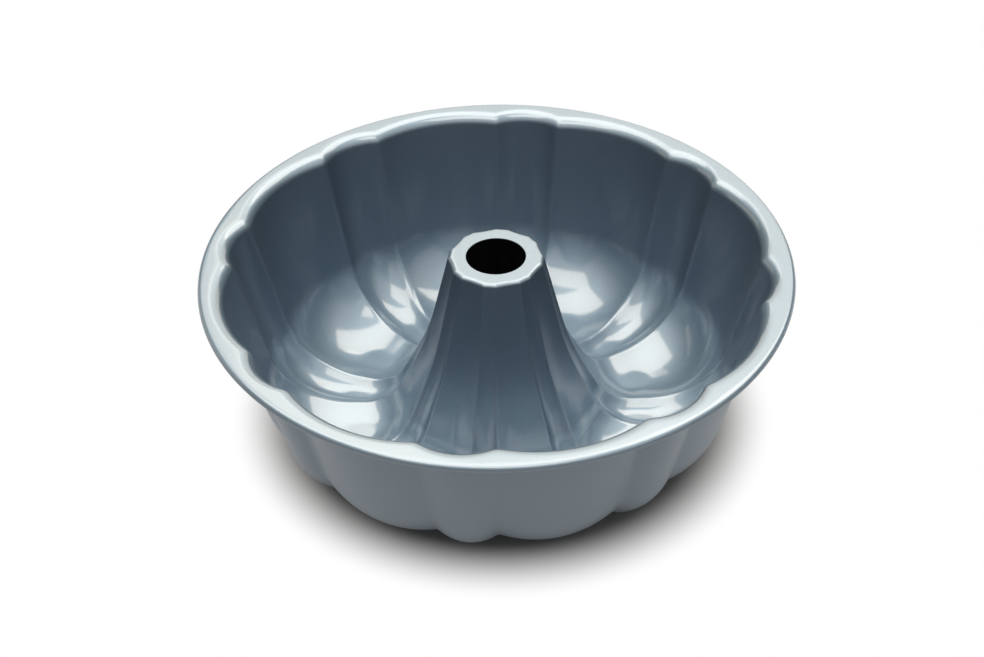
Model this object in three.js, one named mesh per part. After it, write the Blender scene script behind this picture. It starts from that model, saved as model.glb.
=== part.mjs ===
// A fluted tube pan: two drawn sheet pressings and the wire inside the rolled edge.
// Units are millimetres and +Z is up. The pan stands on z = 0 with its axis on Z,
// and a narrow flute is centred on +X.

import * as THREE from 'three';
import { ParametricGeometry } from 'three/addons/geometries/ParametricGeometry.js';
import { mergeVertices } from 'three/addons/utils/BufferGeometryUtils.js';

// Overall sizes
const RIM_RADIUS = 133.5;
const PAN_HEIGHT = 90;
const SHEET = 0.7;

// Rim, wall and floor of the bowl, measured at the bottoms of the flutes
const FLANGE_WIDTH = 9.5;
const RIM_BEND = 6.2;
const WALL_DRAFT = THREE.MathUtils.degToRad(12.6);
const FLOOR_WIDTH = 5;

// Flutes: narrow and wide ones take turns round the pan
const FLUTE_PAIRS = 8;
const NARROW_HALF = THREE.MathUtils.degToRad(7.55);
const WALL_FLUTE = 4.1;
const FLOOR_FLUTE = 4.3;
const TUBE_WIDE_FLUTE = 1;
const TUBE_NARROW_FLUTE = 0.25;
const LAND_SINK = 0.5;

// Centre tube
const TUBE_RISE = 1.6;
const HOLE_RADIUS = 13.6;
const RING_WIDTH = 7;
const TUBE_BEND = 2;
const TUBE_DRAFT = THREE.MathUtils.degToRad(12.2);
const SKIRT_DROP = 49;
const SKIRT_RADIUS = 120;
const SKIRT_DRAFT = THREE.MathUtils.degToRad(25);
const FOOT_RADIUS = 23.5;

// Lap seam between the tube's foot and the floor
const SEAM_SETBACK = 12;
const SEAM_LAP = 7;
const SEAM_GAP = 0.3;

// Wired edge
const WIRE_RADIUS = 0.8;
const WIRE_CLEARANCE = 0.3;
const CURL_TURN = THREE.MathUtils.degToRad(270);

// Sizes that follow from those above
const TUBE_TOP = PAN_HEIGHT + TUBE_RISE;
const FLOOR_LEVEL = SHEET - LAND_SINK;
const CURL_RADIUS = WIRE_RADIUS + WIRE_CLEARANCE + SHEET;
const CURL_CENTRE = RIM_RADIUS - CURL_RADIUS;
const CURL_LEVEL = PAN_HEIGHT - CURL_RADIUS;
const MOUTH_RADIUS = RIM_RADIUS - FLANGE_WIDTH;
const CORNER_PLACE = MOUTH_RADIUS - (PAN_HEIGHT - FLOOR_LEVEL) * Math.tan(WALL_DRAFT);
const TUBE_TOP_RADIUS = HOLE_RADIUS + RING_WIDTH;
const SKIRT_LEVEL = TUBE_TOP - SKIRT_DROP;
const SKIRT_PLACE = TUBE_TOP_RADIUS + SKIRT_DROP * Math.tan(TUBE_DRAFT);
const FOOT_PLACE = SKIRT_PLACE + (SKIRT_LEVEL - FLOOR_LEVEL) * Math.tan(SKIRT_DRAFT);
const FOOT_REACH = FOOT_RADIUS * Math.tan((Math.PI / 2 - SKIRT_DRAFT) / 2);
const CORNER_REACH = CORNER_PLACE - FOOT_PLACE - FOOT_REACH - FLOOR_WIDTH;
const CORNER_RADIUS = CORNER_REACH / Math.tan((Math.PI / 2 - WALL_DRAFT) / 2);
const PITCH = (2 * Math.PI) / FLUTE_PAIRS;

// Steps round one pitch, from the middle of a narrow flute to the middle of the next
const NARROW_STEPS = 4;
const WIDE_STEPS = 6;
const PITCH_STEPS = NARROW_STEPS + WIDE_STEPS;
const WIRE_SIDES = 8;

// Profile of the food side

/** The point at an angle and a distance from the origin. */
function pointAt(angle, distance) {
  return new THREE.Vector2(Math.cos(angle), Math.sin(angle)).multiplyScalar(distance);
}

/** The turn from one heading to the next, between minus and plus half a circle. */
function turnBetween(before, after) {
  return Math.atan2(Math.sin(after - before), Math.cos(after - before));
}

/** One straight run from a to b. */
function straight(a, b) {
  const along = b.clone().sub(a);
  const length = along.length();
  const heading = along.angle();
  return { length, place: (s) => a.clone().lerp(b, s / length), heading: () => heading };
}

/** One arc from a start and a heading, which turns left, or right if the turn is negative. */
function bend(start, heading, radius, turn) {
  const quarter = (Math.sign(turn) * Math.PI) / 2;
  const centre = start.clone().add(pointAt(heading + quarter, radius));
  const headingAt = (s) => heading + (Math.sign(turn) * s) / radius;
  return {
    length: Math.abs(turn) * radius,
    place: (s) => centre.clone().add(pointAt(headingAt(s) - quarter, radius)),
    heading: headingAt,
  };
}

/** Straight runs through corner points, each inner corner rounded by its radius. */
function roundedRuns(corners) {
  const runs = [];
  let from = corners[0].at;
  for (let i = 1; i < corners.length - 1; i += 1) {
    const corner = corners[i];
    const heading = corner.at.clone().sub(corners[i - 1].at).angle();
    const turn = turnBetween(heading, corners[i + 1].at.clone().sub(corner.at).angle());
    const reach = corner.radius * Math.tan(Math.abs(turn) / 2);
    const start = corner.at.clone().sub(pointAt(heading, reach));
    runs.push(straight(from, start), bend(start, heading, corner.radius, turn));
    from = corner.at.clone().add(pointAt(heading + turn, reach));
  }
  runs.push(straight(from, corners.at(-1).at));
  return runs;
}

const RIM_EDGE = new THREE.Vector2(CURL_CENTRE, PAN_HEIGHT);
const RUNS = roundedRuns([
  { at: new THREE.Vector2(HOLE_RADIUS, TUBE_TOP) },
  { at: new THREE.Vector2(TUBE_TOP_RADIUS, TUBE_TOP), radius: TUBE_BEND },
  { at: new THREE.Vector2(SKIRT_PLACE, SKIRT_LEVEL), radius: SKIRT_RADIUS },
  { at: new THREE.Vector2(FOOT_PLACE, FLOOR_LEVEL), radius: FOOT_RADIUS },
  { at: new THREE.Vector2(CORNER_PLACE, FLOOR_LEVEL), radius: CORNER_RADIUS },
  { at: new THREE.Vector2(MOUTH_RADIUS, PAN_HEIGHT), radius: RIM_BEND },
  { at: RIM_EDGE },
]);
RUNS.push(bend(RIM_EDGE, 0, CURL_RADIUS, -CURL_TURN));

// Distance along the profile at which each run starts, and the end of the last
const STATIONS = RUNS.reduce((list, run) => [...list, list.at(-1) + run.length], [0]);
const [
  HOLE_EDGE, RING_END, TUBE_START, SKIRT_START, SKIRT_END, FOOT_START, FLOOR_START,
  CORNER_START, WALL_START, RIM_START, FLANGE_START, CURL_START, CURL_END,
] = STATIONS;
const LAP_END = FLOOR_START - SEAM_SETBACK;
const SEAM = LAP_END - SEAM_LAP;
const TUBE_SHOULDER = SEAM - SEAM_GAP;

/** The run that holds a distance along the profile, and the distance inside it. */
function runAt(distance) {
  let index = RUNS.length - 1;
  while (index > 0 && distance < STATIONS[index]) index -= 1;
  return { run: RUNS[index], inside: distance - STATIONS[index] };
}

// Flutes

/** Whether an angle lies in a narrow flute, and the ridges' share of the depth there. */
function fluteAt(angle) {
  const folded = THREE.MathUtils.euclideanModulo(angle, PITCH);
  const fromNarrow = Math.min(folded, PITCH - folded);
  const fromWide = PITCH / 2 - fromNarrow;
  const isNarrow = fromNarrow <= NARROW_HALF;
  const share = isNarrow ? fromNarrow / NARROW_HALF : fromWide / (PITCH / 2 - NARROW_HALF);
  return { isNarrow, share: share ** 2 };
}

/** Rise of the sheet above a wide flute's middle. It dies out across the ring and the flange. */
function fluteRise(distance, angle) {
  const { lerp, smoothstep, clamp } = THREE.MathUtils;
  const { isNarrow, share } = fluteAt(angle);
  if (distance >= CORNER_START) {
    const deep = lerp(FLOOR_FLUTE, WALL_FLUTE, smoothstep(distance, CORNER_START, WALL_START));
    return share * deep * clamp((CURL_START - distance) / (CURL_START - FLANGE_START), 0, 1);
  }
  const toFloor = clamp((distance - TUBE_START) / (CORNER_START - TUBE_START), 0, 1);
  const wide = lerp(TUBE_WIDE_FLUTE, FLOOR_FLUTE, toFloor);
  const narrow = lerp(TUBE_NARROW_FLUTE, FLOOR_FLUTE, toFloor);
  const rise = isNarrow ? wide - narrow * (1 - share) : wide * share;
  return rise * clamp(distance / RING_END, 0, 1);
}

/** The way the ridges rise: level at the ring and the flange, square to the sheet between them. */
function ridgeHeading(distance, heading) {
  const { lerp, smoothstep } = THREE.MathUtils;
  if (distance < TUBE_START) return 0;
  if (distance > RIM_START) return Math.PI;
  const square = heading > Math.PI ? heading - 1.5 * Math.PI : heading + Math.PI / 2;
  if (distance < SKIRT_START) return lerp(0, square, smoothstep(distance, TUBE_START, SKIRT_START));
  return lerp(square, Math.PI, smoothstep(distance, WALL_START, RIM_START));
}

/** A point on the food side. The flutes' bottoms are flat where the pan stands. */
function foodSide(distance, angle) {
  const { run, inside } = runAt(distance);
  const heading = THREE.MathUtils.euclideanModulo(run.heading(inside), 2 * Math.PI);
  const rise = pointAt(ridgeHeading(distance, heading), fluteRise(distance, angle));
  const place = run.place(inside).add(rise);
  const level = Math.max(place.y, SHEET);
  return new THREE.Vector3(place.x * Math.cos(angle), place.x * Math.sin(angle), level);
}

/** A point at a depth under the food side, measured square to it. */
function below(distance, angle, depth) {
  const step = 1e-3;
  const turn = 2e-5;
  const along = foodSide(distance + step, angle).sub(foodSide(distance - step, angle));
  const round = foodSide(distance, angle + turn).sub(foodSide(distance, angle - turn));
  const up = along.cross(round).normalize();
  return foodSide(distance, angle).addScaledVector(up, -depth);
}

// Closed sections carried round the axis

/** Angle of one step round the pan. A step falls on every ridge and every flute's middle. */
function stepAngle(step) {
  const turn = Math.floor(step / PITCH_STEPS);
  const inside = step - turn * PITCH_STEPS;
  const half = NARROW_STEPS / 2;
  const wideSpan = PITCH - 2 * NARROW_HALF;
  let angle = (inside / half) * NARROW_HALF;
  if (inside > half) angle = NARROW_HALF + ((inside - half) / WIDE_STEPS) * wideSpan;
  if (inside > half + WIDE_STEPS) angle = PITCH - ((PITCH_STEPS - inside) / half) * NARROW_HALF;
  return turn * PITCH + angle;
}

/** A closed body from a closed section of count points, each placed by its index and an angle. */
function carriedRound(count, placePoint) {
  const turns = FLUTE_PAIRS * PITCH_STEPS;
  const fill = (u, v, target) => {
    const index = Math.round(u * count) % count;
    const step = Math.round(v * turns) % turns;
    target.copy(placePoint(index, stepAngle(step)));
  };
  const surface = new ParametricGeometry(fill, count, turns);
  surface.deleteAttribute('normal');
  surface.deleteAttribute('uv');
  const body = mergeVertices(surface, 1e-5);
  body.computeVertexNormals();
  return body;
}

/** Distances from one station to the next in equal steps, without the first. */
function steps(from, to, count) {
  return Array.from({ length: count }, (_, i) => from + ((to - from) * (i + 1)) / count);
}

/** The same depth under the food side at each of some distances. */
function layer(distances, depth) {
  return distances.map((distance) => ({ distance, depth }));
}

/** A sheet body from the places of its closed section. */
function sheetBody(places) {
  return carriedRound(places.length, (index, angle) => {
    const { distance, depth } = places[index];
    return below(distance, angle, depth);
  });
}

// Fluted bowl: floor, wall, flange and the curl that closes round the wire
const bowlRun = [
  SEAM,
  ...steps(SEAM, LAP_END, 2),
  ...steps(LAP_END, FLOOR_START, 2),
  CORNER_START,
  ...steps(CORNER_START, WALL_START, 7),
  ...steps(WALL_START, RIM_START, 2),
  ...steps(RIM_START, FLANGE_START, 5),
  CURL_START,
  ...steps(CURL_START, CURL_END, 6),
];
const bowl = sheetBody([...layer(bowlRun, 0), ...layer(bowlRun.toReversed(), SHEET)]);

// Centre tube: pierced ring, wall, flared foot, and a lap joggled under the bowl's floor
const tubeRun = [
  HOLE_EDGE,
  RING_END,
  ...steps(RING_END, TUBE_START, 3),
  SKIRT_START,
  ...steps(SKIRT_START, SKIRT_END, 3),
  ...steps(SKIRT_END, FOOT_START, 1),
  ...steps(FOOT_START, TUBE_SHOULDER - SHEET, 2),
];
const lapRun = steps(SEAM, LAP_END, 2);
const lapTop = SHEET + SEAM_GAP;
const tube = sheetBody([
  ...layer([...tubeRun, TUBE_SHOULDER], 0),
  ...layer([TUBE_SHOULDER, ...lapRun], lapTop),
  ...layer(lapRun.toReversed(), lapTop + SHEET),
  { distance: TUBE_SHOULDER - SHEET, depth: lapTop + SHEET },
  ...layer(tubeRun.toReversed(), SHEET),
]);

// Rim wire: a ring of round wire inside the curl
const wire = carriedRound(WIRE_SIDES, (index, angle) => {
  const place = pointAt((-2 * Math.PI * index) / WIRE_SIDES, WIRE_RADIUS);
  const radius = CURL_CENTRE + place.x;
  return new THREE.Vector3(radius * Math.cos(angle), radius * Math.sin(angle), CURL_LEVEL + place.y);
});

/** A named mesh with its own material. */
function piece(name, geometry, color, roughness, metalness) {
  const mesh = new THREE.Mesh(geometry, new THREE.MeshStandardMaterial({ color, roughness, metalness }));
  mesh.name = name;
  return mesh;
}

const pan = new THREE.Group();
pan.name = 'fluted_tube_pan';
pan.add(
  piece('fluted_bowl', bowl, 0x5c666f, 0.35, 0.6),
  piece('centre_tube', tube, 0x56606a, 0.35, 0.6),
  piece('rim_wire', wire, 0xb9bcbe, 0.4, 1.0),
);

export default pan;
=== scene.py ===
"""The looks of a fluted tube pan: two coated steel pressings and a wired rim on a white floor.

Sizes are written in millimetres, as a maker would give them. Meshes are in metres, in the part's
own frame: +Z is up, the pan stands on z = 0 with its axis on Z, and a narrow flute is on +X.
"""

import cmath
import logging
import math
from collections.abc import Iterable, Mapping
from dataclasses import dataclass, field
from enum import Enum
from typing import Any

import bpy
from mathutils import Matrix, Vector

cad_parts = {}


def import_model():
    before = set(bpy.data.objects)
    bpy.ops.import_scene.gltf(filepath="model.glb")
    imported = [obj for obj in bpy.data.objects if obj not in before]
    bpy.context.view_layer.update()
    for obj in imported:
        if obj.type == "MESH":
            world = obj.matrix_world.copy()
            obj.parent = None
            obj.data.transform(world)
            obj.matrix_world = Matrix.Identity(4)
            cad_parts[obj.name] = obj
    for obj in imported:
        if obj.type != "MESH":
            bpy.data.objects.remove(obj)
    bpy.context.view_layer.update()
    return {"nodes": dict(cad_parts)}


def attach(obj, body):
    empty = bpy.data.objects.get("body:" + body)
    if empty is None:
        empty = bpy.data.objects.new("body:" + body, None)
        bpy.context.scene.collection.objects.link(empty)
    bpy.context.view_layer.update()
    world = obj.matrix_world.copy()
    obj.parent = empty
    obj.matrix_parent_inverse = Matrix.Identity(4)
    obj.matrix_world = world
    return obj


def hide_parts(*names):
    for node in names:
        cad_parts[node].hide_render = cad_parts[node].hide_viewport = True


LOG = logging.getLogger("fluted_tube_pan")
MM = 0.001


# Small helpers


def linear(hex_colour: str) -> tuple[float, float, float, float]:
    """Turn an sRGB hex colour into linear light.

    Args:
        hex_colour: Six hex digits after a hash sign.

    Returns:
        Linear red, green and blue, and an alpha of 1.
    """
    values = [int(hex_colour[i : i + 2], 16) / 255 for i in (1, 3, 5)]
    light = [v / 12.92 if v <= 0.04045 else ((v + 0.055) / 1.055) ** 2.4 for v in values]
    return (light[0], light[1], light[2], 1.0)


def add_node(
    tree: bpy.types.NodeTree,
    kind: str,
    inputs: Mapping[str | int, Any] | None = None,
    **settings: Any,
) -> bpy.types.Node:
    """Add one node to a tree, with its settings and what goes into it.

    Args:
        tree: The shader or geometry tree.
        kind: Blender's name for the kind of node.
        inputs: A value, or another node's output to link, for each socket name or number.
        **settings: The node's own settings.

    Returns:
        The new node.
    """
    node = tree.nodes.new(kind)
    for name, value in settings.items():
        setattr(node, name, value)
    for key, value in (inputs or {}).items():
        if isinstance(value, bpy.types.NodeSocket):
            tree.links.new(value, node.inputs[key])
        else:
            node.inputs[key].default_value = value
    return node


def blank_material(name: str) -> tuple[bpy.types.Material, bpy.types.NodeTree]:
    """Make a material with an empty tree.

    Args:
        name: The material's name.

    Returns:
        The material and its tree.
    """
    made = bpy.data.materials.new(name)
    made.use_nodes = True
    made.node_tree.nodes.clear()
    return made, made.node_tree


def grow(
    seed: bpy.types.Mesh,
    tree: bpy.types.NodeTree,
    values: Mapping[str, Any],
) -> bpy.types.Object:
    """Run a geometry tree and keep its result as a plain mesh.

    Args:
        seed: The mesh that the tree starts from, whose name the piece takes.
        tree: The geometry tree.
        values: The tree's inputs by name.

    Returns:
        A new object at the origin, with no modifier left on it.
    """
    name = seed.name
    piece = bpy.data.objects.new(name, seed)
    bpy.context.scene.collection.objects.link(piece)
    rule = piece.modifiers.new(tree.name, "NODES")
    rule.node_group = tree
    for item in tree.interface.items_tree:
        if item.in_out == "INPUT" and item.name in values:
            rule[item.identifier] = values[item.name]
    made = piece.evaluated_get(bpy.context.evaluated_depsgraph_get())
    mesh = bpy.data.meshes.new_from_object(made)
    piece.modifiers.clear()
    piece.data = mesh
    bpy.data.meshes.remove(seed)
    mesh.name = name
    return piece


def smoothstep(value: float, low: float, high: float) -> float:
    """Ease from 0 at low to 1 at high."""
    share = min(max((value - low) / (high - low), 0.0), 1.0)
    return share * share * (3 - 2 * share)


def mix(low: float, high: float, share: float) -> float:
    """Go from low to high by a share."""
    return low + (high - low) * share


# Sizes and the profile of the food side


@dataclass(frozen=True)
class PanSizes:
    """The pan's sizes in millimetres and radians, measured at the bottoms of the flutes.

    The curl's turn is that of the sheet round the wire, and the coat's turn is how far round the
    rolled edge the food side's coat reaches before the outside's enamel takes over.
    """

    rim_radius: float = 133.5
    pan_height: float = 90.0
    sheet: float = 0.7
    flange_width: float = 9.5
    rim_bend: float = 6.2
    wall_draft: float = math.radians(12.6)
    floor_width: float = 5.0
    flute_pairs: int = 8
    narrow_half: float = math.radians(7.55)
    wall_flute: float = 4.1
    floor_flute: float = 4.3
    tube_wide_flute: float = 1.0
    tube_narrow_flute: float = 0.25
    ridge_rounding: float = 0.6
    tube_ridge_rounding: float = 0.2
    land_sink: float = 0.5
    tube_rise: float = 1.6
    hole_radius: float = 13.6
    ring_width: float = 7.0
    tube_bend: float = 2.0
    tube_draft: float = math.radians(12.2)
    skirt_drop: float = 49.0
    skirt_radius: float = 120.0
    skirt_draft: float = math.radians(25)
    foot_radius: float = 23.5
    seam_setback: float = 12.0
    seam_lap: float = 7.0
    seam_gap: float = 0.3
    wire_radius: float = 0.8
    wire_clearance: float = 0.3
    curl_turn: float = math.radians(270)
    coat_turn: float = math.radians(72)

    @property
    def tube_top(self) -> float:
        """Height of the ring on the tube."""
        return self.pan_height + self.tube_rise

    @property
    def floor_level(self) -> float:
        """Height of the flutes' bottoms before they are flattened."""
        return self.sheet - self.land_sink

    @property
    def curl_radius(self) -> float:
        """Outside radius of the rolled edge."""
        return self.wire_radius + self.wire_clearance + self.sheet

    @property
    def curl_centre(self) -> complex:
        """Middle of the rolled edge, as radius and height."""
        return complex(self.rim_radius - self.curl_radius, self.pan_height - self.curl_radius)


@dataclass(frozen=True)
class Straight:
    """A straight run of the profile. A place is a complex number: radius and height."""

    start: complex
    end: complex

    @property
    def length(self) -> float:
        """Length of the run."""
        return abs(self.end - self.start)

    def place(self, distance: float) -> complex:
        """Place at a distance from the start."""
        return self.start + (self.end - self.start) * (distance / self.length)

    def heading(self, distance: float) -> float:
        """Heading at a distance from the start, the same all along."""
        return cmath.phase(self.end - self.start)


@dataclass(frozen=True)
class Bend:
    """An arc of the profile, which turns left, or right if its turn is negative."""

    start: complex
    heading_in: float
    radius: float
    turn: float

    @property
    def length(self) -> float:
        """Length of the arc."""
        return abs(self.turn) * self.radius

    def heading(self, distance: float) -> float:
        """Heading at a distance from the start."""
        return self.heading_in + math.copysign(distance / self.radius, self.turn)

    def place(self, distance: float) -> complex:
        """Place at a distance from the start."""
        quarter = math.copysign(math.pi / 2, self.turn)
        centre = self.start + cmath.rect(self.radius, self.heading_in + quarter)
        return centre + cmath.rect(self.radius, self.heading(distance) - quarter)


class Station(Enum):
    """The ends of the profile's runs, in order from the hole to the rolled edge."""

    HOLE_EDGE = 0
    RING_END = 1
    TUBE_START = 2
    SKIRT_START = 3
    SKIRT_END = 4
    FOOT_START = 5
    FLOOR_START = 6
    CORNER_START = 7
    WALL_START = 8
    RIM_START = 9
    FLANGE_START = 10
    CURL_START = 11
    CURL_END = 12


@dataclass(frozen=True)
class SheetPoint:
    """A point of the profile and what the flutes do there, in millimetres."""

    place: complex
    rise: complex
    wide_depth: float
    narrow_depth: float
    rounding: float
    sink: float
    coated: bool


class FoodProfile:
    """The food side's profile at the bottom of a flute, as straight runs and bends."""

    TOLERANCE = 1e-9

    def __init__(self, sizes: PanSizes) -> None:
        """Lay out the runs.

        Args:
            sizes: The pan's sizes.
        """
        self.sizes = sizes
        self.runs = self._runs()
        self.starts = [0.0]
        for run in self.runs:
            self.starts.append(self.starts[-1] + run.length)

    def _runs(self) -> list[Straight | Bend]:
        """Work out the corners and round them.

        Returns:
            The runs, from the hole's edge to the end of the rolled edge.
        """
        s = self.sizes
        mouth = complex(s.rim_radius - s.flange_width, s.pan_height)
        wall_drop = s.pan_height - s.floor_level
        corner = mouth - complex(wall_drop * math.tan(s.wall_draft), wall_drop)
        ring = complex(s.hole_radius + s.ring_width, s.tube_top)
        skirt = ring + complex(s.skirt_drop * math.tan(s.tube_draft), -s.skirt_drop)
        foot_drop = skirt.imag - s.floor_level
        foot = skirt + complex(foot_drop * math.tan(s.skirt_draft), -foot_drop)
        foot_reach = s.foot_radius * math.tan((math.pi / 2 - s.skirt_draft) / 2)
        corner_reach = corner.real - foot.real - foot_reach - s.floor_width
        corner_radius = corner_reach / math.tan((math.pi / 2 - s.wall_draft) / 2)
        edge = complex(s.curl_centre.real, s.pan_height)
        rounded = [
            (ring, s.tube_bend),
            (skirt, s.skirt_radius),
            (foot, s.foot_radius),
            (corner, corner_radius),
            (mouth, s.rim_bend),
        ]
        runs: list[Straight | Bend] = []
        start = complex(s.hole_radius, s.tube_top)
        before = start
        for (place, radius), (after, _) in zip(rounded, [*rounded[1:], (edge, 0.0)]):
            heading = cmath.phase(place - before)
            turn = cmath.phase((after - place) / (place - before))
            reach = radius * math.tan(abs(turn) / 2)
            bend = Bend(place - cmath.rect(reach, heading), heading, radius, turn)
            runs += [Straight(start, bend.start), bend]
            start = place + cmath.rect(reach, heading + turn)
            before = place
        runs += [Straight(start, edge), Bend(edge, 0.0, s.curl_radius, -s.curl_turn)]
        return runs

    def at(self, station: Station) -> float:
        """Distance of a station along the profile."""
        return self.starts[station.value]

    @property
    def coat_end(self) -> float:
        """Distance at which the food side's coat ends and the outside's enamel begins."""
        return self.at(Station.CURL_START) + self.sizes.curl_radius * self.sizes.coat_turn

    @property
    def lap_end(self) -> float:
        """Distance at which the tube's lap under the floor ends."""
        return self.at(Station.FLOOR_START) - self.sizes.seam_setback

    @property
    def seam(self) -> float:
        """Distance of the bowl floor's inner edge."""
        return self.lap_end - self.sizes.seam_lap

    def depths(self, distance: float) -> tuple[float, float, float]:
        """Depth of the wide and the narrow flutes and the rounding of the ridges between them.

        Args:
            distance: Distance along the profile.

        Returns:
            The two depths and the rounding, which die out across the ring and across the flange.
        """
        s = self.sizes
        corner = self.at(Station.CORNER_START)
        if distance >= corner:
            curl = self.at(Station.CURL_START)
            flange = self.at(Station.FLANGE_START)
            to_wall = smoothstep(distance, corner, self.at(Station.WALL_START))
            fade = min(max((curl - distance) / (curl - flange), 0.0), 1.0)
            depth = mix(s.floor_flute, s.wall_flute, to_wall) * fade
            return (depth, depth, depth * s.ridge_rounding)
        tube = self.at(Station.TUBE_START)
        to_floor = min(max((distance - tube) / (corner - tube), 0.0), 1.0)
        fade = min(distance / self.at(Station.RING_END), 1.0)
        wide = mix(s.tube_wide_flute, s.floor_flute, to_floor) * fade
        narrow = mix(s.tube_narrow_flute, s.floor_flute, to_floor) * fade
        return (wide, narrow, wide * mix(s.tube_ridge_rounding, s.ridge_rounding, to_floor))

    def rise_heading(self, distance: float, heading: float) -> float:
        """The way the ridges rise: level at the ring and flange, square to the sheet between.

        Args:
            distance: Distance along the profile.
            heading: The profile's own heading there.

        Returns:
            The angle in which a ridge stands out.
        """
        tube, skirt = self.at(Station.TUBE_START), self.at(Station.SKIRT_START)
        wall, rim = self.at(Station.WALL_START), self.at(Station.RIM_START)
        if distance < tube:
            return 0.0
        if distance > rim:
            return math.pi
        square = heading + math.pi / 2
        if distance < skirt:
            return mix(0.0, square, smoothstep(distance, tube, skirt))
        return mix(square, math.pi, smoothstep(distance, wall, rim))

    def point(self, distance: float, sink: float) -> SheetPoint:
        """One point of the profile.

        Args:
            distance: Distance along the profile.
            sink: How far the sheet is stepped down from the food side there.

        Returns:
            The point and its flutes.
        """
        reached = distance + self.TOLERANCE
        index = max(i for i in range(len(self.runs)) if i == 0 or self.starts[i] <= reached)
        run, inside = self.runs[index], distance - self.starts[index]
        rise = cmath.rect(1.0, self.rise_heading(distance, run.heading(inside)))
        coated = distance < self.coat_end
        return SheetPoint(run.place(inside), rise, *self.depths(distance), sink, coated)

    def steps(self, start: float, end: float, count: int, sink: float = 0.0) -> list[SheetPoint]:
        """Points in equal steps, without the first.

        Args:
            start: Distance to start after.
            end: Distance of the last point.
            count: How many points.
            sink: How far the sheet is stepped down there.

        Returns:
            The points in order.
        """
        return [self.point(start + (end - start) * i / count, sink) for i in range(1, count + 1)]

    def between(self, counts: Iterable[tuple[Station, Station, int]]) -> list[SheetPoint]:
        """Points over several runs.

        Args:
            counts: First station, last station and number of steps of each stretch.

        Returns:
            The points in order, without the first.
        """
        points: list[SheetPoint] = []
        for first, last, count in counts:
            points += self.steps(self.at(first), self.at(last), count)
        return points


# Geometry Nodes: the rule that makes a fluted sheet from its profile


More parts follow.
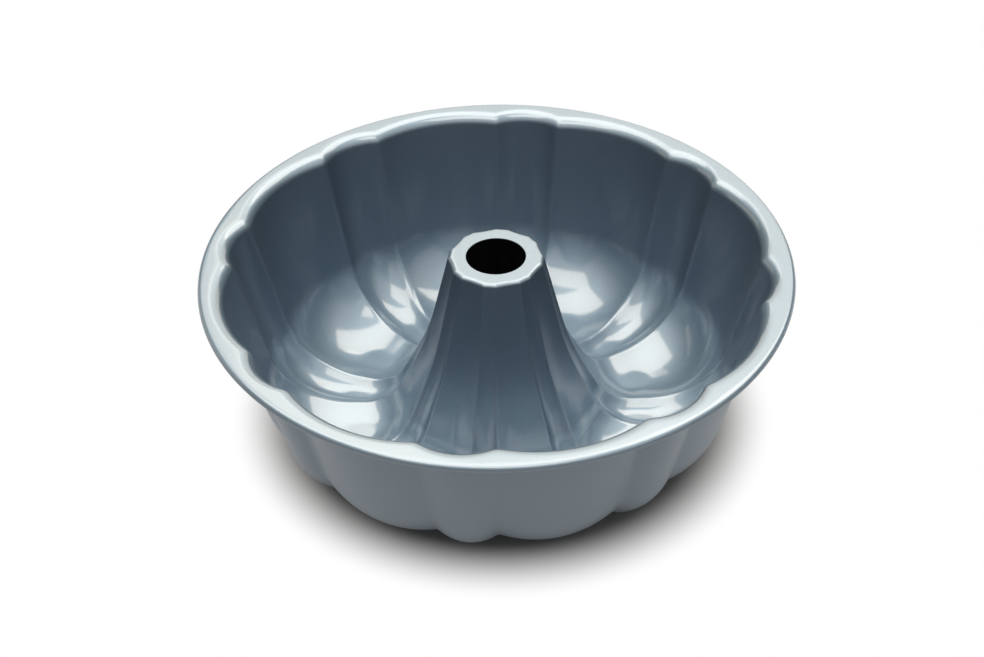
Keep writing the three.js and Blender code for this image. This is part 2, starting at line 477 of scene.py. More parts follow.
class FlutedSheetRule:
    """A tree that carries a profile round the axis, presses the flutes in and adds the thickness.

    A sum is the name of its result, the operation, and its terms: earlier names or numbers.
    """

    GEOMETRY = "NodeSocketGeometry"
    NUMBER = "NodeSocketFloat"
    COUNT = "NodeSocketInt"
    MATERIAL = "NodeSocketMaterial"
    RIDGE_TRIES = 12
    WELD_REACH = 1e-6
    SHARP_FOLD = math.radians(50)

    # The profile point of each grid point, and even steps through each half pitch of the flutes
    GRID_SUMS = (
        ("columns", "ADD", "Angle Steps", 1.0),
        ("index middle", "ADD", "index", 0.5),
        ("row share", "DIVIDE", "index middle", "columns"),
        ("row", "FLOOR", "row share"),
        ("row start", "MULTIPLY", "row", "columns"),
        ("step", "SUBTRACT", "index", "row start"),
        ("halves", "MULTIPLY", "Flute Pairs", 2.0),
        ("half steps", "MULTIPLY", "step", "halves"),
        ("turns", "DIVIDE", "half steps", "Angle Steps"),
        ("even", "PINGPONG", "turns", 1.0),
        ("half pitch", "DIVIDE", math.pi, "Flute Pairs"),
        ("ridge", "DIVIDE", "Narrow Half Angle", "half pitch"),
        ("crowding", "DIVIDE", "Ridge Crowding", math.tau),
    )

    # One try at the even step that the crowding brings to the ridge
    RIDGE_SUMS = (
        ("ridge turn", "MULTIPLY", "target", math.tau),
        ("ridge wave", "SINE", "ridge turn"),
        ("ridge pull", "MULTIPLY", "crowding", "ridge wave"),
        ("target", "ADD", "ridge", "ridge pull"),
    )

    # Steps crowded towards the ridge, and the angle round the axis
    ANGLE_SUMS = (
        ("from target", "SUBTRACT", "even", "target"),
        ("target turn", "MULTIPLY", "from target", math.tau),
        ("target wave", "SINE", "target turn"),
        ("waves", "ADD", "target wave", "ridge wave"),
        ("pull", "MULTIPLY", "crowding", "waves"),
        ("share", "SUBTRACT", "even", "pull"),
        ("from narrow", "MULTIPLY", "share", "half pitch"),
        ("half", "FLOOR", "turns"),
        ("odd", "MODULO", "half", 2.0),
        ("twice odd", "MULTIPLY", "odd", 2.0),
        ("side", "SUBTRACT", 1.0, "twice odd"),
        ("nearest", "ADD", "half", "odd"),
        ("signed share", "MULTIPLY", "side", "share"),
        ("bearing", "ADD", "nearest", "signed share"),
        ("angle", "MULTIPLY", "bearing", "half pitch"),
    )

    # Parabolic flutes, narrow and wide by turns, that meet in slightly rounded ridges
    RISE_SUMS = (
        ("from wide", "SUBTRACT", "half pitch", "from narrow"),
        ("wide half", "SUBTRACT", "half pitch", "Narrow Half Angle"),
        ("wide share", "DIVIDE", "from wide", "wide half"),
        ("wide square", "POWER", "wide share", 2.0),
        ("wide rise", "MULTIPLY", "wide_depth", "wide square"),
        ("narrow share", "DIVIDE", "from narrow", "Narrow Half Angle"),
        ("narrow square", "POWER", "narrow share", 2.0),
        ("narrow rest", "SUBTRACT", 1.0, "narrow square"),
        ("narrow drop", "MULTIPLY", "narrow_depth", "narrow rest"),
        ("narrow rise", "SUBTRACT", "wide_depth", "narrow drop"),
        ("ridge rise", "SMOOTH_MIN", "wide rise", "narrow rise", "rounding"),
    )

    # The point in space, flat where the pan stands
    PLACE_SUMS = (
        ("level", "SMOOTH_MAX", "height", "Land Level", "Land Rounding"),
        ("cosine", "COSINE", "angle"),
        ("sine", "SINE", "angle"),
        ("across", "MULTIPLY", "radius", "cosine"),
        ("along", "MULTIPLY", "radius", "sine"),
    )

    # Down from the food side, and which of its faces have the coat
    SHEET_SUMS = (
        ("lap drop", "MULTIPLY", "sink", -1.0),
        ("back drop", "MULTIPLY", "Sheet Thickness", -1.0),
        ("has coat", "GREATER_THAN", "coated", 0.5),
    )

    def __init__(self) -> None:
        """Make the tree with its named inputs and add its nodes."""
        self.tree = bpy.data.node_groups.new("fluted_sheet", "GeometryNodeTree")
        face = self.tree.interface
        for name, kind in (
            ("Profile", self.GEOMETRY),
            ("Angle Steps", self.COUNT),
            ("Flute Pairs", self.COUNT),
            ("Narrow Half Angle", self.NUMBER),
            ("Ridge Crowding", self.NUMBER),
            ("Land Level", self.NUMBER),
            ("Land Rounding", self.NUMBER),
            ("Sheet Thickness", self.NUMBER),
            ("Food Finish", self.MATERIAL),
            ("Back Finish", self.MATERIAL),
        ):
            face.new_socket(name, in_out="INPUT", socket_type=kind)
        face.new_socket("Sheet", in_out="OUTPUT", socket_type=self.GEOMETRY)
        given = add_node(self.tree, "NodeGroupInput").outputs
        self.known: dict[Any, bpy.types.NodeSocket] = {socket.name: socket for socket in given}
        self._find_angle()
        self._press_flutes()
        self._finish(self._thicken(self._food_side()))

    def _work_out(self, sums: Iterable[tuple[Any, ...]]) -> None:
        """Add sums to the tree and keep their results by name.

        Args:
            sums: The sums, in the order in which they are worked out.
        """
        for name, operation, *terms in sums:
            inputs = {slot: self.known.get(term, term) for slot, term in enumerate(terms)}
            added = add_node(self.tree, "ShaderNodeMath", inputs, operation=operation)
            self.known[name] = added.outputs[0]

    def _profile_value(self, name: str, kind: str) -> bpy.types.NodeSocket:
        """Read one of the profile's values for each point of the grid.

        Args:
            name: Name of the value on the profile.
            kind: FLOAT or FLOAT_VECTOR.

        Returns:
            The value, as an output to link.
        """
        value = add_node(self.tree, "GeometryNodeInputNamedAttribute", {"Name": name}, data_type=kind)
        profile, row = self.known["Profile"], self.known["row"]
        sample = {"Geometry": profile, "Value": value.outputs[0], "Index": row}
        return add_node(self.tree, "GeometryNodeSampleIndex", sample, data_type=kind).outputs[0]

    def _find_angle(self) -> None:
        """Find the profile point and the angle that each point of the grid stands for."""
        self.known["index"] = add_node(self.tree, "GeometryNodeInputIndex").outputs[0]
        self._work_out(self.GRID_SUMS)
        self.known["target"] = self.known["ridge"]
        for _ in range(self.RIDGE_TRIES):
            self._work_out(self.RIDGE_SUMS)
        self._work_out(self.ANGLE_SUMS)

    def _press_flutes(self) -> None:
        """Work out how far each point rises above the bottoms of the flutes."""
        for name in ("wide_depth", "narrow_depth", "rounding"):
            self.known[name] = self._profile_value(name, "FLOAT")
        self._work_out(self.RISE_SUMS)

    def _food_side(self) -> bpy.types.NodeSocket:
        """Lay out the food side.

        Returns:
            The closed food side, with the profile's own values for lap and coat kept on it.
        """
        tree, known = self.tree, self.known
        lift = {0: self._profile_value("rise", "FLOAT_VECTOR"), "Scale": known["ridge rise"]}
        lifted = add_node(tree, "ShaderNodeVectorMath", lift, operation="SCALE").outputs[0]
        bottom = self._profile_value("place", "FLOAT_VECTOR")
        moved = add_node(tree, "ShaderNodeVectorMath", {0: bottom, 1: lifted}, operation="ADD")
        split = add_node(tree, "ShaderNodeSeparateXYZ", {0: moved.outputs[0]}).outputs
        known["radius"] = split["X"]
        known["height"] = split["Z"]
        self._work_out(self.PLACE_SUMS)
        axes = {"X": known["across"], "Y": known["along"], "Z": known["level"]}
        place = add_node(tree, "ShaderNodeCombineXYZ", axes).outputs[0]
        size = add_node(tree, "GeometryNodeAttributeDomainSize", {0: known["Profile"]})
        counts = {"Vertices X": size.outputs["Point Count"], "Vertices Y": known["columns"]}
        kept = add_node(tree, "GeometryNodeMeshGrid", counts).outputs["Mesh"]
        for name in ("sink", "coated"):
            value = self._profile_value(name, "FLOAT")
            kept = add_node(
                tree,
                "GeometryNodeStoreNamedAttribute",
                {"Geometry": kept, "Name": name, "Value": value},
                data_type="FLOAT",
            ).outputs[0]
        shaped = add_node(tree, "GeometryNodeSetPosition", {"Geometry": kept, "Position": place})
        weld = {"Geometry": shaped.outputs[0], "Distance": self.WELD_REACH}
        return add_node(tree, "GeometryNodeMergeByDistance", weld).outputs[0]

    def _thicken(self, food: bpy.types.NodeSocket) -> bpy.types.NodeSocket:
        """Step the lap down under its neighbour, mark the coated faces and add the thickness.

        Args:
            food: The food side.

        Returns:
            The sheet, closed all round.
        """
        tree, known = self.tree, self.known
        for name in ("sink", "coated"):
            held = add_node(tree, "GeometryNodeInputNamedAttribute", {"Name": name}, data_type="FLOAT")
            known[name] = held.outputs[0]
        self._work_out(self.SHEET_SUMS)
        step = {0: add_node(tree, "GeometryNodeInputNormal").outputs[0], "Scale": known["lap drop"]}
        down = add_node(tree, "ShaderNodeVectorMath", step, operation="SCALE").outputs[0]
        lowered = {"Geometry": food, "Offset": down}
        stepped = add_node(tree, "GeometryNodeSetPosition", lowered).outputs[0]
        marked = add_node(
            tree,
            "GeometryNodeStoreNamedAttribute",
            {"Geometry": stepped, "Name": "food_side", "Value": known["has coat"]},
            data_type="BOOLEAN",
            domain="FACE",
        )
        back = add_node(
            tree,
            "GeometryNodeExtrudeMesh",
            {"Mesh": stepped, "Offset Scale": known["back drop"], "Individual": False},
        )
        turned = add_node(tree, "GeometryNodeFlipFaces", {"Mesh": back.outputs["Mesh"]})
        both = add_node(tree, "GeometryNodeJoinGeometry", {0: turned.outputs[0]})
        tree.links.new(marked.outputs[0], both.inputs[0])
        weld = {"Geometry": both.outputs[0], "Distance": self.WELD_REACH}
        return add_node(tree, "GeometryNodeMergeByDistance", weld).outputs[0]

    def _finish(self, sheet: bpy.types.NodeSocket) -> None:
        """Smooth the sheet between its sharp edges and give both sides their finishes.

        Args:
            sheet: The closed sheet.
        """
        tree, known = self.tree, self.known
        smooth = add_node(tree, "GeometryNodeSetShadeSmooth", {"Geometry": sheet}, domain="FACE")
        known["fold"] = add_node(tree, "GeometryNodeInputMeshEdgeAngle").outputs["Unsigned Angle"]
        self._work_out([("sharp", "GREATER_THAN", "fold", self.SHARP_FOLD)])
        edges = {"Geometry": smooth.outputs[0], "Selection": known["sharp"], "Shade Smooth": False}
        edged = add_node(tree, "GeometryNodeSetShadeSmooth", edges, domain="EDGE")
        whole = add_node(tree, "GeometryNodeRealizeInstances", {"Geometry": edged.outputs[0]})
        side = add_node(
            tree,
            "GeometryNodeInputNamedAttribute",
            {"Name": "food_side"},
            data_type="BOOLEAN",
        )
        backed = add_node(
            tree,
            "GeometryNodeSetMaterial",
            {"Geometry": whole.outputs[0], "Material": known["Back Finish"]},
        )
        finished = add_node(
            tree,
            "GeometryNodeSetMaterial",
            {
                "Geometry": backed.outputs[0],
                "Selection": side.outputs[0],
                "Material": known["Food Finish"],
            },
        )
        add_node(tree, "NodeGroupOutput", {"Sheet": finished.outputs[0]})

    def make(self, name: str, points: list[SheetPoint], values: Mapping[str, Any]) -> bpy.types.Object:
        """Make a sheet piece from its profile.

        Args:
            name: The piece's name.
            points: The profile, in millimetres.
            values: The tree's other inputs, by name.

        Returns:
            A plain mesh object at the origin.
        """
        profile = bpy.data.meshes.new(name)
        places = [(p.place.real * MM, 0.0, p.place.imag * MM) for p in points]
        rises = [(p.rise.real, 0.0, p.rise.imag) for p in points]
        profile.from_pydata(places, [], [])
        for key, rows in (("place", places), ("rise", rises)):
            held = profile.attributes.new(key, "FLOAT_VECTOR", "POINT")
            held.data.foreach_set("vector", [number for row in rows for number in row])
        for key, row in (
            ("wide_depth", [p.wide_depth * MM for p in points]),
            ("narrow_depth", [p.narrow_depth * MM for p in points]),
            ("rounding", [p.rounding * MM for p in points]),
            ("sink", [p.sink * MM for p in points]),
            ("coated", [float(p.coated) for p in points]),
        ):
            profile.attributes.new(key, "FLOAT", "POINT").data.foreach_set("value", row)
        return grow(profile, self.tree, values)


# Finishes


@dataclass(frozen=True)
class NonStickCoat:
    """Silicone non-stick coat, sprayed and baked: a blue-grey pearl under a clear gloss, with painted
    shade on the steep walls and painted light on level faces.

    The gloss has a higher index than a lacquer's 1.5, so that lamps at a plain level show as
    brightly in it as on the real pan.
    """

    name: str = "non_stick_coat"
    # Painted light and shade: the lighter colour for level faces, the darker one for steep walls
    level_lit_colour: str = "#92a9b9"
    steep_shaded_colour: str = "#738494"
    metallic: float = 1.0
    roughness: float = 0.56
    level_gloss: float = 1.0
    steep_gloss: float = 0.14
    steep_slope: float = 0.22
    level_slope: float = 0.55
    gloss_index: float = 2.24
    gloss_roughness: float = 0.12
    flake_mm: float = 1.2
    flake_change: float = 0.06
    peel_mm: float = 3.0
    peel_depth_mm: float = 0.004
    peel_detail: float = 1.0

    def material(self) -> bpy.types.Material:
        """Make the material.

        Returns:
            The material, which reads the piece's own coordinates.
        """
        made, tree = blank_material(self.name)
        piece = add_node(tree, "ShaderNodeTexCoord").outputs
        place = piece["Object"]

        # Painted light and shade by slope: level faces such as floor and rim get the lighter colour and
        # full gloss, steep walls the darker colour and little gloss
        facing = add_node(tree, "ShaderNodeSeparateXYZ", {0: piece["Normal"]}).outputs["Z"]
        level = add_node(tree, "ShaderNodeMath", {0: facing}, operation="ABSOLUTE")
        level_share = add_node(
            tree,
            "ShaderNodeMapRange",
            {"Value": level.outputs[0], "From Min": self.steep_slope, "From Max": self.level_slope},
            interpolation_type="SMOOTHSTEP",
        ).outputs[0]
        # A Mix node takes its two numbers at sockets 2 and 3, and its two colours at 6 and 7
        levels = {"Factor": level_share, 2: self.steep_gloss, 3: self.level_gloss}
        gloss = add_node(tree, "ShaderNodeMix", levels)
        # Painted shade: steep walls take the darker colour, level faces the lighter one
        colours = {"Factor": level_share, 6: linear(self.steep_shaded_colour), 7: linear(self.level_lit_colour)}
        tint = add_node(tree, "ShaderNodeMix", colours, data_type="RGBA")

        # Pearl flakes, drawn coarser than they are so that they show
        flakes = add_node(
            tree,
            "ShaderNodeTexNoise",
            {"Vector": place, "Scale": 1 / (self.flake_mm * MM)},
        )
        sparkle = add_node(
            tree,
            "ShaderNodeMapRange",
            {
                "Value": flakes.outputs[0],
                "To Min": 1 - self.flake_change,
                "To Max": 1 + self.flake_change,
            },
        )
        pearl = add_node(
            tree,
            "ShaderNodeHueSaturation",
            {"Color": tint.outputs[2], "Value": sparkle.outputs[0]},
        )

        # Orange peel left by the spray gun
        peel = add_node(
            tree,
            "ShaderNodeTexNoise",
            {"Vector": place, "Scale": 1 / (self.peel_mm * MM), "Detail": self.peel_detail},
        )
        bump = add_node(
            tree,
            "ShaderNodeBump",
            {"Height": peel.outputs[0], "Distance": self.peel_depth_mm * MM, "Strength": 1.0},
        )
        skin = add_node(
            tree,
            "ShaderNodeBsdfPrincipled",
            {
                "Base Color": pearl.outputs[0],
                "Metallic": self.metallic,
                "Roughness": self.roughness,
                "Normal": bump.outputs[0],
                "Coat Weight": gloss.outputs[0],
                "Coat IOR": self.gloss_index,
                "Coat Roughness": self.gloss_roughness,
            },
        )
        add_node(tree, "ShaderNodeOutputMaterial", {"Surface": skin.outputs[0]})
        return made


@dataclass(frozen=True)
class SatinEnamel:
    """Thin grey heat-proof enamel outside and round the rolled edge: satin, with a fine spray grit."""

    name: str = "satin_enamel"
    colour: str = "#7c8992"
    dark_colour: str = "#73808a"
    roughness: float = 0.42
    metallic: float = 0.35
    grit_mm: float = 0.8
    grit_depth_mm: float = 0.006

    def material(self) -> bpy.types.Material:
        """Make the material.

        Returns:
            The material, which reads the piece's own coordinates.
        """
        made, tree = blank_material(self.name)
        place = add_node(tree, "ShaderNodeTexCoord").outputs["Object"]
        grit = add_node(tree, "ShaderNodeTexNoise", {"Vector": place, "Scale": 1 / (self.grit_mm * MM)})
        tint = self.tint(tree, place, grit.outputs[0])
        bump = add_node(
            tree,
            "ShaderNodeBump",
            {"Height": grit.outputs[0], "Distance": self.grit_depth_mm * MM, "Strength": 1.0},
        )
        skin = add_node(
            tree,
            "ShaderNodeBsdfPrincipled",
            {
                "Base Color": tint,
                "Metallic": self.metallic,
                "Roughness": self.roughness,
                "Normal": bump.outputs[0],
            },
        )
        add_node(tree, "ShaderNodeOutputMaterial", {"Surface": skin.outputs[0]})
        return made

    def tint(
        self,
        tree: bpy.types.NodeTree,
        place: bpy.types.NodeSocket,
        grit: bpy.types.NodeSocket,
    ) -> bpy.types.NodeSocket:
        """Add the enamel's colour.

        Args:
            tree: The material's tree.
            place: The point on the piece, not used here.
            grit: The grit's height.

        Returns:
            The colour, as an output to link.
        """
        colours = {"Factor": grit, 6: linear(self.dark_colour), 7: linear(self.colour)}
        return add_node(tree, "ShaderNodeMix", colours, data_type="RGBA").outputs[2]


@dataclass(frozen=True)
class BoreEnamel(SatinEnamel):
    """The same enamel inside the tube, with painted shade that turns it near-black towards the top of
    the bore.
    """

    name: str = "bore_enamel_painted_shade"
    # Painted shade: the near-black given to the upper inside of the bore, from the first height up to
    # the second
    painted_shade_colour: str = "#2a2d2f"
    shade_start_mm: float = 8.0
    shade_full_mm: float = 45.0

    def tint(
        self,
        tree: bpy.types.NodeTree,
        place: bpy.types.NodeSocket,
        grit: bpy.types.NodeSocket,
    ) -> bpy.types.NodeSocket:
        """Add the enamel's colour and let it fade into painted shade with height.

        Args:
            tree: The material's tree.
            place: The point on the piece.
            grit: The grit's height.

        Returns:
            The colour, as an output to link.
        """
        enamel = super().tint(tree, place, grit)
        height = add_node(tree, "ShaderNodeSeparateXYZ", {0: place}).outputs["Z"]
        # Painted shade, darker towards the top of the bore
        bore_shade = add_node(
            tree,
            "ShaderNodeMapRange",
            {"Value": height, "From Min": self.shade_start_mm * MM, "From Max": self.shade_full_mm * MM},
            interpolation_type="SMOOTHSTEP",
        )
        colours = {"Factor": bore_shade.outputs[0], 6: enamel, 7: linear(self.painted_shade_colour)}
        return add_node(tree, "ShaderNodeMix", colours, data_type="RGBA").outputs[2]


@dataclass(frozen=True)
class DrawnSteel:
    """Bare steel wire as it left the die: bright, with fine lines along its length."""

    name: str = "drawn_steel_wire"
    colour: str = "#b9bbbc"
    dark_colour: str = "#8f9294"
    low_roughness: float = 0.28
    high_roughness: float = 0.45
    line_mm: float = 0.12

    def material(self) -> bpy.types.Material:
        """Make the material.

        Returns:
            The material, whose lines follow the ring because they change only with radius and height.
        """
        made, tree = blank_material(self.name)
        place = add_node(tree, "ShaderNodeTexCoord").outputs["Object"]
        split = add_node(tree, "ShaderNodeSeparateXYZ", {0: place}).outputs
        level = add_node(tree, "ShaderNodeCombineXYZ", {"X": split["X"], "Y": split["Y"]})
        radius = add_node(tree, "ShaderNodeVectorMath", {0: level.outputs[0]}, operation="LENGTH")
        across = add_node(
            tree,
            "ShaderNodeCombineXYZ",
            {"X": radius.outputs["Value"], "Z": split["Z"]},
        )
        lines = add_node(
            tree,
            "ShaderNodeTexNoise",
            {"Vector": across.outputs[0], "Scale": 1 / (self.line_mm * MM)},
        )
        tint = add_node(
            tree,
            "ShaderNodeMix",
            {"Factor": lines.outputs[0], 6: linear(self.dark_colour), 7: linear(self.colour)},
            data_type="RGBA",
        )
        rough = add_node(
            tree,
            "ShaderNodeMapRange",
            {"Value": lines.outputs[0], "To Min": self.low_roughness, "To Max": self.high_roughness},
        )
        skin = add_node(
            tree,
            "ShaderNodeBsdfPrincipled",
            {"Base Color": tint.outputs[2], "Metallic": 1.0, "Roughness": rough.outputs[0]},
        )
        add_node(tree, "ShaderNodeOutputMaterial", {"Surface": skin.outputs[0]})
        return made


# The pan's pieces


@dataclass
class Pressing:
    """A piece drawn from sheet steel, which the fluted sheet rule makes."""

    profile: FoodProfile
    rule: FlutedSheetRule
    angle_steps: int = 400
    ridge_crowding: float = 0.7
    land_rounding: float = 0.3
    piece: bpy.types.Object | None = field(default=None, init=False)

    def press(
        self,
        name: str,
        points: list[SheetPoint],
        food: bpy.types.Material,
        back: bpy.types.Material,
    ) -> bpy.types.Object:
        """Make the mesh from a stretch of the profile.

        Args:
            name: The piece's name.
            points: The stretch that the piece takes.
            food: Finish of the food side.
            back: Finish of the other side.

        Returns:
            The piece.
        """
        sizes = self.profile.sizes
        values = {
            "Angle Steps": self.angle_steps,
            "Flute Pairs": sizes.flute_pairs,
            "Narrow Half Angle": sizes.narrow_half,
            "Ridge Crowding": self.ridge_crowding,
            "Land Level": sizes.sheet * MM,
            "Land Rounding": self.land_rounding * MM,
            "Sheet Thickness": sizes.sheet * MM,
            "Food Finish": food,
            "Back Finish": back,
        }
        self.piece = self.rule.make(name, points, values)
        return self.piece


@dataclass
class FlutedBowl(Pressing):
    """The drawn bowl: floor, fluted wall, flange and the curl round the wire."""

    floor_steps: int = 14
    stretches: tuple[tuple[Station, Station, int], ...] = (
        (Station.FLOOR_START, Station.CORNER_START, 3),
        (Station.CORNER_START, Station.WALL_START, 32),
        (Station.WALL_START, Station.RIM_START, 14),
        (Station.RIM_START, Station.FLANGE_START, 14),
        (Station.FLANGE_START, Station.CURL_START, 4),
        (Station.CURL_START, Station.CURL_END, 22),
    )

    def build(self, food: bpy.types.Material, back: bpy.types.Material) -> bpy.types.Object:
        """Make the bowl's mesh.

        Args:
            food: Finish of the food side, the flange and the top of the rolled edge.
            back: Finish of the outside and the rest of the rolled edge.

        Returns:
            The bowl.
        """
        line = self.profile
        points = [line.point(line.seam, 0.0)]
        points += line.steps(line.seam, line.at(Station.FLOOR_START), self.floor_steps)
        points += line.between(self.stretches)
        return self.press("bowl_shell", points, food, back)

    def dress(self) -> None:
        """Tie the bowl to its node and hide the imported bowl."""
        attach(self.piece, "root")
        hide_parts("fluted_bowl")


@dataclass
class CentreTube(Pressing):
    """The drawn tube: pierced ring, tapering wall, flared foot and the lap under the floor.

    The weld is dressed flush and coated over, so only a hair line is left of the seam. The
    shoulder is the short step down to the lap.
    """

    hair_line: float = 0.02
    shoulder_run: float = 0.05
    foot_steps: int = 8
    lap_steps: int = 6
    stretches: tuple[tuple[Station, Station, int], ...] = (
        (Station.HOLE_EDGE, Station.RING_END, 4),
        (Station.RING_END, Station.TUBE_START, 8),
        (Station.TUBE_START, Station.SKIRT_START, 10),
        (Station.SKIRT_START, Station.SKIRT_END, 10),
        (Station.SKIRT_END, Station.FOOT_START, 8),
    )

    def build(self, food: bpy.types.Material, back: bpy.types.Material) -> bpy.types.Object:
        """Make the tube's mesh.

        Args:
            food: Finish of the food side and the ring.
            back: Finish of the inside of the tube.

        Returns:
            The tube.
        """
        line = self.profile
        lap_depth = line.sizes.sheet + line.sizes.seam_gap
        shoulder = line.seam - self.hair_line
        points = [line.point(line.at(Station.HOLE_EDGE), 0.0)]
        points += line.between(self.stretches)
        foot = line.at(Station.FOOT_START)
        points += line.steps(foot, shoulder - self.shoulder_run, self.foot_steps)
        points.append(line.point(shoulder, lap_depth))
        points += line.steps(shoulder, line.lap_end, self.lap_steps, lap_depth)
        return self.press("tube_shell", points, food, back)

    def dress(self) -> None:
        """Tie the tube to its node and hide the imported tube."""
        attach(self.piece, "root")
        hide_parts("centre_tube")


class WireRingRule:
    """A tree that bends a round wire into a level ring."""

    def __init__(self) -> None:
        """Make the tree and its named inputs."""
        self.tree = bpy.data.node_groups.new("wire_ring", "GeometryNodeTree")
        face = self.tree.interface
        for name, kind in (
            ("Ring Radius", "NodeSocketFloat"),
            ("Ring Height", "NodeSocketFloat"),
            ("Wire Radius", "NodeSocketFloat"),
            ("Ring Steps", "NodeSocketInt"),
            ("Wire Sides", "NodeSocketInt"),
            ("Finish", "NodeSocketMaterial"),
        ):
            face.new_socket(name, in_out="INPUT", socket_type=kind)
        face.new_socket("Wire", in_out="OUTPUT", socket_type="NodeSocketGeometry")
        tree = self.tree
        given = add_node(tree, "NodeGroupInput").outputs
        path = add_node(
            tree,
            "GeometryNodeCurvePrimitiveCircle",
            {"Resolution": given["Ring Steps"], "Radius": given["Ring Radius"]},
        )
        section = add_node(
            tree,
            "GeometryNodeCurvePrimitiveCircle",
            {"Resolution": given["Wire Sides"], "Radius": given["Wire Radius"]},
        )
        swept = add_node(
            tree,
            "GeometryNodeCurveToMesh",
            {"Curve": path.outputs[0], "Profile Curve": section.outputs[0]},
        )
        height = add_node(tree, "ShaderNodeCombineXYZ", {"Z": given["Ring Height"]})
        raised = add_node(
            tree,
            "GeometryNodeSetPosition",
            {"Geometry": swept.outputs[0], "Offset": height.outputs[0]},
        )
        smooth = add_node(tree, "GeometryNodeSetShadeSmooth", {"Geometry": raised.outputs[0]})
        whole = add_node(tree, "GeometryNodeRealizeInstances", {"Geometry": smooth.outputs[0]})
        finished = add_node(
            tree,
            "GeometryNodeSetMaterial",
            {"Geometry": whole.outputs[0], "Material": given["Finish"]},
        )
        add_node(tree, "NodeGroupOutput", {"Wire": finished.outputs[0]})


@dataclass
class RimWire:
    """The ring of drawn wire that the rolled edge closes on."""

    sizes: PanSizes
    ring_steps: int = 240
    wire_sides: int = 14
    piece: bpy.types.Object | None = field(default=None, init=False)

    def build(self, finish: bpy.types.Material) -> bpy.types.Object:
        """Make the wire's mesh.

        Args:
            finish: Finish of the wire.

        Returns:
            The wire.
        """
        mesh = bpy.data.meshes.new("rim_wire_ring")
        self.piece = grow(
            mesh,
            WireRingRule().tree,
            {
                "Ring Radius": self.sizes.curl_centre.real * MM,
                "Ring Height": self.sizes.curl_centre.imag * MM,
                "Wire Radius": self.sizes.wire_radius * MM,
                "Ring Steps": self.ring_steps,
                "Wire Sides": self.wire_sides,
                "Finish": finish,
            },
        )
        return self.piece

    def dress(self) -> None:
        """Tie the wire to its node and hide the imported wire."""
        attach(self.piece, "root")
        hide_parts("rim_wire")


# Studio


@dataclass(frozen=True)
class SoftBox:
    """A soft rectangular lamp, in metres, which faces down unless it is aimed at a point."""

    name: str
    place: tuple[float, float, float]
    size: tuple[float, float]
    radiance: float
    turn: float = 0.0
    aim: tuple[float, float, float] | None = None
    colour: str = "#fff1e1"

    def hang(self) -> None:
        """Put the lamp in the scene."""
        data = bpy.data.lights.new(self.name, "AREA")
        data.shape = "RECTANGLE"
        data.size, data.size_y = self.size
        data.energy = self.radiance * math.pi * self.size[0] * self.size[1]
        data.color = linear(self.colour)[:3]
        lamp = bpy.data.objects.new(self.name, data)
        lamp.location = self.place
        lamp.rotation_euler = (0.0, 0.0, self.turn)
        if self.aim is not None:
            way = Vector(self.aim) - Vector(self.place)
            lamp.rotation_euler = way.to_track_quat("-Z", "Y").to_euler()
        bpy.context.scene.collection.objects.link(lamp)


@dataclass(frozen=True)
class WhitePaper:
    """Matt paper under the pan, grey in its shadow, which goes over to plain white away from it.

    The shadow is an oval round its middle, in metres, and is squeezed to a circle to measure it.
    """

    name: str = "white_paper"
    colour: str = "#828282"
    white: str = "#ffffff"
    roughness: float = 0.9
    sheen: float = 0.1
    shadow_squeeze: tuple[float, float, float] = (0.961, 1.0, 1.0)
    shadow_middle: tuple[float, float, float] = (0.0009, 0.004, 0.0)
    shadow_reach: float = 0.093
    white_from: float = 0.127

    def material(self) -> bpy.types.Material:
        """Make the material.

        Returns:
            The material, whose white shows to the camera and in gloss but lights nothing.
        """
        made, tree = blank_material(self.name)
        place = add_node(tree, "ShaderNodeTexCoord").outputs["Object"]
        oval = add_node(
            tree,
            "ShaderNodeVectorMath",
            {0: place, 1: self.shadow_squeeze},
            operation="MULTIPLY",
        )
        away = add_node(
            tree,
            "ShaderNodeVectorMath",
            {0: oval.outputs[0], 1: self.shadow_middle},
            operation="DISTANCE",
        )
        far = add_node(
            tree,
            "ShaderNodeMapRange",
            {"Value": away.outputs["Value"], "From Min": self.shadow_reach, "From Max": self.white_from},
            interpolation_type="SMOOTHSTEP",
        )
        path = add_node(tree, "ShaderNodeLightPath").outputs
        seen = path["Is Camera Ray"]
        for name in ("Is Glossy Ray", "Is Transmission Ray"):
            either = add_node(tree, "ShaderNodeMath", {0: seen, 1: path[name]}, operation="MAXIMUM")
            seen = either.outputs[0]
        share = add_node(tree, "ShaderNodeMath", {0: seen, 1: far.outputs[0]}, operation="MULTIPLY")
        paper = add_node(
            tree,
            "ShaderNodeBsdfPrincipled",
            {
                "Base Color": linear(self.colour),
                "Roughness": self.roughness,
                "Specular IOR Level": self.sheen,
            },
        )
        white = add_node(tree, "ShaderNodeEmission", {"Color": linear(self.white), "Strength": 1.0})
        both = add_node(
            tree,
            "ShaderNodeMixShader",
            {0: share.outputs[0], 1: paper.outputs[0], 2: white.outputs[0]},
        )
        add_node(tree, "ShaderNodeOutputMaterial", {"Surface": both.outputs[0]})
        return made


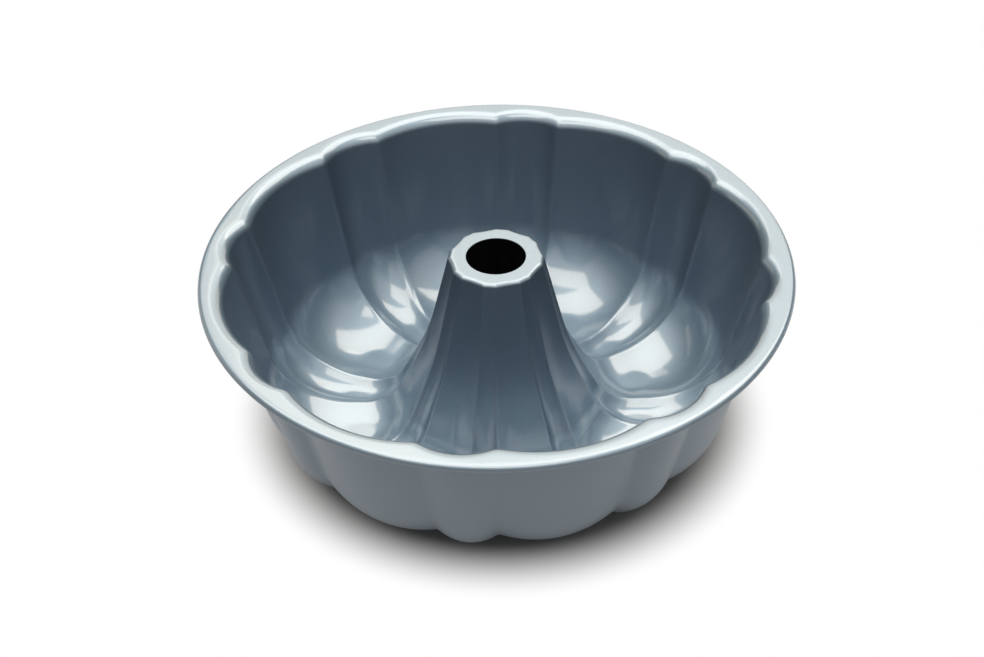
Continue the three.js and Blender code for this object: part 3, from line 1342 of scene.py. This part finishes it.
@dataclass(frozen=True)
class Studio:
    """White floor, soft lamps and the camera of the photograph, in metres and radians.

    The camera's distance is from the middle of the rim, which lies at the rim pixel of the frame.
    The room is as dim as its skirting below the first ceiling rise, and as pale as its ceiling
    above the second. A rise is how far a direction of length 1 goes along the ceiling's way.
    """

    rim_height: float = 0.090
    distance: float = 0.6995
    elevation: float = math.radians(36.99)
    azimuth: float = math.radians(8.16)
    roll: float = math.radians(1.03)
    focal_pixels: float = 1551.5
    sensor_mm: float = 36.0
    nearest: float = 0.01
    frame: tuple[int, int] = (984, 657)
    rim_pixel: tuple[float, float] = (495.9, 258.9)
    floor_reach: float = 6.0
    room_colour: str = "#ffffff"
    ceiling: float = 0.664
    skirting: float = 0.028
    ceiling_rise: tuple[float, float] = (0.3, 0.7)
    ceiling_way: tuple[float, float, float] = (0.1, -0.2, 1.0)
    boxes: tuple[SoftBox, ...] = (
        SoftBox("box_over", (0.10, 0.76, 1.6), (2.69, 1.32), 2.28, turn=math.radians(27)),
        SoftBox("box_front", (-0.08, -0.69, 1.6), (1.52, 0.86), 2.07),
        SoftBox("panel_back", (0.0, 2.0, 1.3), (1.8, 2.2), 1.18, aim=(0.0, 0.0, 1.3)),
        SoftBox("panel_high", (-0.66, 1.41, 1.5), (0.7, 0.6), 1.1, aim=(0.0, 0.0, 0.09)),
        SoftBox("panel_left", (-1.9, 0.6, 0.7), (1.6, 0.7), 0.6, aim=(0.0, 0.0, 0.7)),
    )

    def camera(self) -> bpy.types.Object:
        """Put the camera where the photograph was taken from.

        Returns:
            The camera, which is the scene's own.
        """
        data = bpy.data.cameras.new("photo_camera")
        data.sensor_width = self.sensor_mm
        data.lens = self.focal_pixels * self.sensor_mm / self.frame[0]
        data.clip_start = self.nearest
        camera = bpy.data.objects.new("photo_camera", data)
        bpy.context.scene.collection.objects.link(camera)
        level = math.cos(self.elevation)
        bearing = (level * math.sin(self.azimuth), -level * math.cos(self.azimuth))
        away = Vector((*bearing, math.sin(self.elevation)))
        forward = -away
        right = forward.cross(Vector((0, 0, 1))).normalized()
        upward = right.cross(forward)
        across = (self.rim_pixel[0] - self.frame[0] / 2) / self.focal_pixels
        down = (self.frame[1] / 2 - self.rim_pixel[1]) / self.focal_pixels
        ray = Vector((across, down, 1.0)).normalized()
        aim = Vector((0, 0, 1)).rotation_difference(ray).to_matrix()
        turned = aim @ Matrix.Rotation(self.roll, 3, "Z") @ Matrix((right, upward, forward))
        place = Matrix((turned[0], turned[1], -turned[2])).transposed().to_4x4()
        place.translation = Vector((0, 0, self.rim_height)) + away * self.distance
        camera.matrix_world = place
        bpy.context.scene.camera = camera
        return camera

    def floor(self) -> bpy.types.Object:
        """Lay the white floor.

        Returns:
            The floor.
        """
        far = self.floor_reach
        mesh = bpy.data.meshes.new("studio_floor")
        corners = [(-far, -far, 0), (far, -far, 0), (far, far, 0), (-far, far, 0)]
        mesh.from_pydata(corners, [], [(0, 1, 2, 3)])
        mesh.materials.append(WhitePaper().material())
        floor = bpy.data.objects.new("studio_floor", mesh)
        bpy.context.scene.collection.objects.link(floor)
        return floor

    def light(self) -> None:
        """Set the pale ceiling and dim sides of the room and hang the lamps."""
        world = bpy.data.worlds.new("studio_room")
        bpy.context.scene.world = world
        world.use_nodes = True
        tree = world.node_tree
        tree.nodes.clear()
        way = add_node(tree, "ShaderNodeTexCoord").outputs["Generated"]
        height = add_node(
            tree,
            "ShaderNodeVectorMath",
            {0: way, 1: self.ceiling_way},
            operation="DOT_PRODUCT",
        )
        level = add_node(
            tree,
            "ShaderNodeMapRange",
            {
                "Value": height.outputs["Value"],
                "From Min": self.ceiling_rise[0],
                "From Max": self.ceiling_rise[1],
                "To Min": self.skirting,
                "To Max": self.ceiling,
            },
        )
        light = {"Color": linear(self.room_colour), "Strength": level.outputs[0]}
        room = add_node(tree, "ShaderNodeBackground", light)
        add_node(tree, "ShaderNodeOutputWorld", {"Surface": room.outputs[0]})
        for box in self.boxes:
            box.hang()


def main() -> None:
    """Load the part, build and dress its pieces, and set the studio."""
    logging.basicConfig(level=logging.INFO, format="%(message)s")
    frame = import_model()
    scene = bpy.context.scene
    scene.view_settings.view_transform = "Standard"
    LOG.info("CAD nodes: %s", ", ".join(sorted(frame["nodes"])))
    sizes = PanSizes()
    line = FoodProfile(sizes)
    rule = FlutedSheetRule()
    coat = NonStickCoat().material()
    enamel = SatinEnamel().material()
    bore = BoreEnamel().material()
    for part, back in ((FlutedBowl(line, rule), enamel), (CentreTube(line, rule), bore)):
        piece = part.build(coat, back)
        part.dress()
        LOG.info("%s: %d faces", piece.name, len(piece.data.polygons))
    wire = RimWire(sizes)
    piece = wire.build(DrawnSteel().material())
    wire.dress()
    LOG.info("%s: %d faces", piece.name, len(piece.data.polygons))
    studio = Studio()
    studio.camera()
    studio.floor()
    studio.light()


if __name__ == "__main__":
    main()
